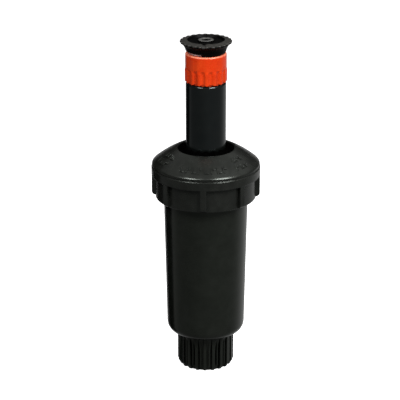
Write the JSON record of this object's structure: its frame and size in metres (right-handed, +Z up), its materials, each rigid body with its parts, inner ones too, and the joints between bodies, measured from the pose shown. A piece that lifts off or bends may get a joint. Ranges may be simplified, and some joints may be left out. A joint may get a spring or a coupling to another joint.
{
  "type": "pop up sprinkler",
  "caption": "Upright pop-up spray sprinkler, popped up: tapered case on a pipe-thread inlet, screw cap with grip lugs, sliding riser and adjustable-arc nozzle.",
  "frame": {"origin": "centre of the inlet's lower face", "axes": "+Z up along the riser's axis; -Y is the front, which the nozzle's pointer faces"},
  "size_m": [0.052, 0.052, 0.1646],
  "materials": {
    "case_black": "satin moulded",
    "cap_black": "satin moulded",
    "riser_black": "semi-gloss moulded",
    "nozzle_black": "satin moulded",
    "seal_rubber": "matt",
    "collar_orange": "satin moulded",
    "hub_white": "natural acetal",
    "acetal_grey": "natural acetal",
    "mesh_grey": "fine woven screen",
    "spring_steel": "drawn stainless wire",
    "screw_steel": "turned stainless"
  },
  "bodies": {
    "case": {"case_body": "case_black", "retract_spring": "spring_steel"},
    "seal_seat": {"seal_support_ring": "acetal_grey", "wiper_seal": "seal_rubber"},
    "cap": {"cap_shell": "cap_black"},
    "ratchet": {"ratchet_ring": "acetal_grey"},
    "riser": {"riser_stem": "riser_black", "stem_retainer": "riser_black", "nozzle_base": "nozzle_black", "nozzle_hub": "hub_white", "deflector": "nozzle_black", "collar_seal_ring": "seal_rubber", "screen_frame": "nozzle_black", "screen_mesh": "mesh_grey"},
    "collar": {"arc_collar": "collar_orange"},
    "throttle": {"throttle_plug": "acetal_grey"},
    "screw": {"radius_screw": "screw_steel"}
  },
  "joints": [
    {"name": "cap_lift", "type": "slide", "parent": "case", "child": "seal_seat", "axis": [0, 0, 1], "range_m": [0, 0.0065]},
    {"name": "cap_turn", "type": "hinge", "parent": "seal_seat", "child": "cap", "pos_m": [0, 0, 0.0871], "axis": [0, 0, 1], "range_deg": [0, 720]},
    {"name": "riser_slide", "type": "slide", "parent": "case", "child": "ratchet", "axis": [0, 0, 1], "range_m": [-0.0485, 0], "deforming": ["retract_spring"]},
    {"name": "riser_turn", "type": "hinge", "parent": "ratchet", "child": "riser", "pos_m": [0, 0, 0.0703], "axis": [0, 0, 1], "continuous": true},
    {"name": "arc_turn", "type": "hinge", "parent": "riser", "child": "collar", "pos_m": [0, 0, 0.1443], "axis": [0, 0, 1], "range_deg": [-170, 150]},
    {"name": "throttle_slide", "type": "slide", "parent": "riser", "child": "throttle", "axis": [0, 0, 1], "range_m": [-0.001, 0]},
    {"name": "screw_turn", "type": "hinge", "parent": "throttle", "child": "screw", "pos_m": [0, 0, 0.136], "axis": [0, 0, 1], "range_deg": [-721, 0]}
  ],
  "couplings": [
    {"joint": "cap_lift", "follows": "cap_turn", "m_per_rad": 0.0005093},
    {"joint": "screw_turn", "follows": "throttle_slide", "rad_per_m": 12566}
  ]
}
